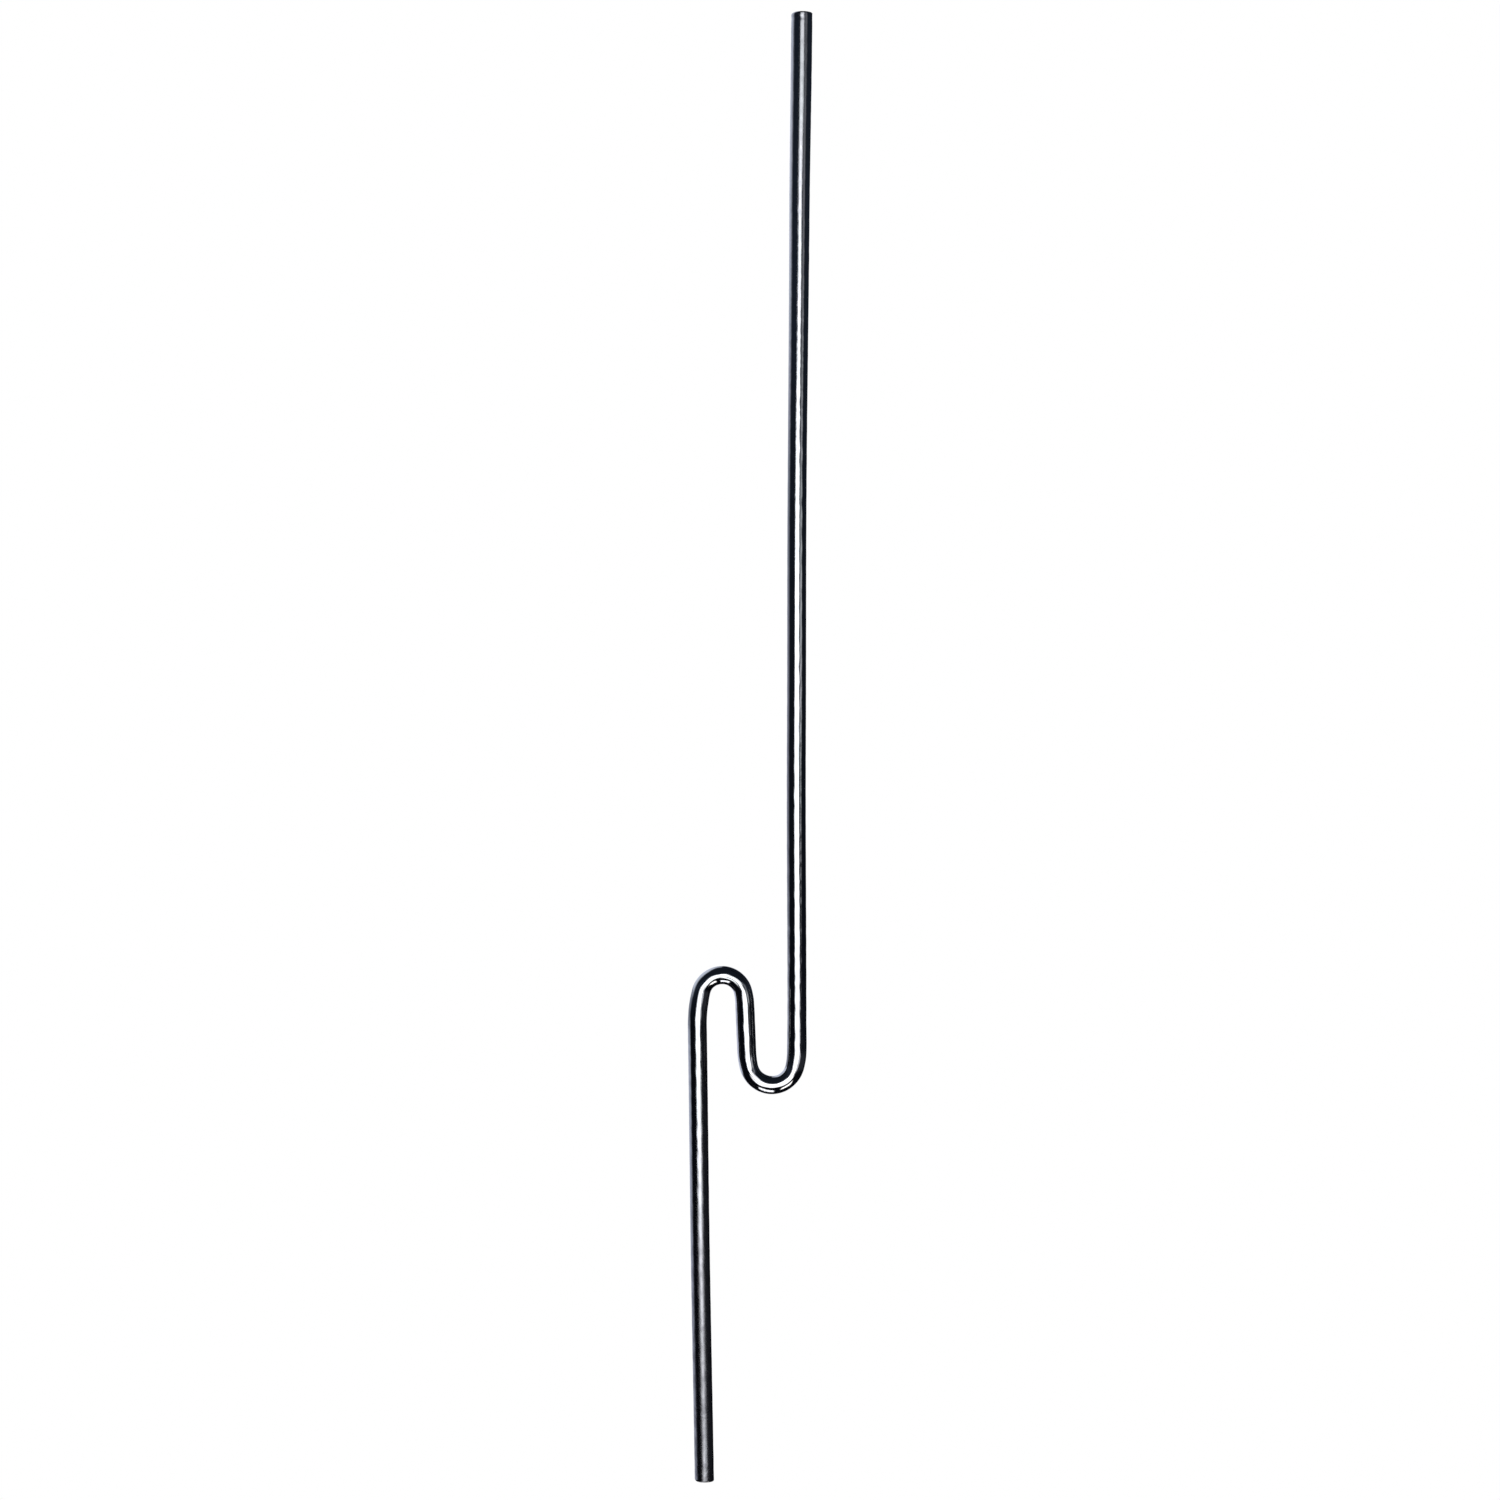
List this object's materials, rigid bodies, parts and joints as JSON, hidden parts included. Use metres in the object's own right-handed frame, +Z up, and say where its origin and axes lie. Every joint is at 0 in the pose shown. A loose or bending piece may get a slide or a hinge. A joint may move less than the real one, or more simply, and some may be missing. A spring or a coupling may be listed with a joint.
{
  "type": "tent stake",
  "caption": "Tent stake bent from one round steel rod: a long upper leg, an S of two opposed open hooks that catch a guy line, and a shorter lower leg.",
  "frame": {"origin": "centre of the lower leg's cut end", "axes": "+Z up, from the lower cut end towards the upper one; +X across the S bend, from the lower leg towards the upper leg; Y is square to the plane that the rod is bent in"},
  "size_m": [0.0257, 0.004, 0.305],
  "materials": {
    "rod_steel": "bright cold-drawn steel, smooth with fine lengthwise die lines, duller and lightly scuffed towards both cut ends"
  },
  "bodies": {
    "root": {"stake_rod": "rod_steel"}
  },
  "joints": []
}
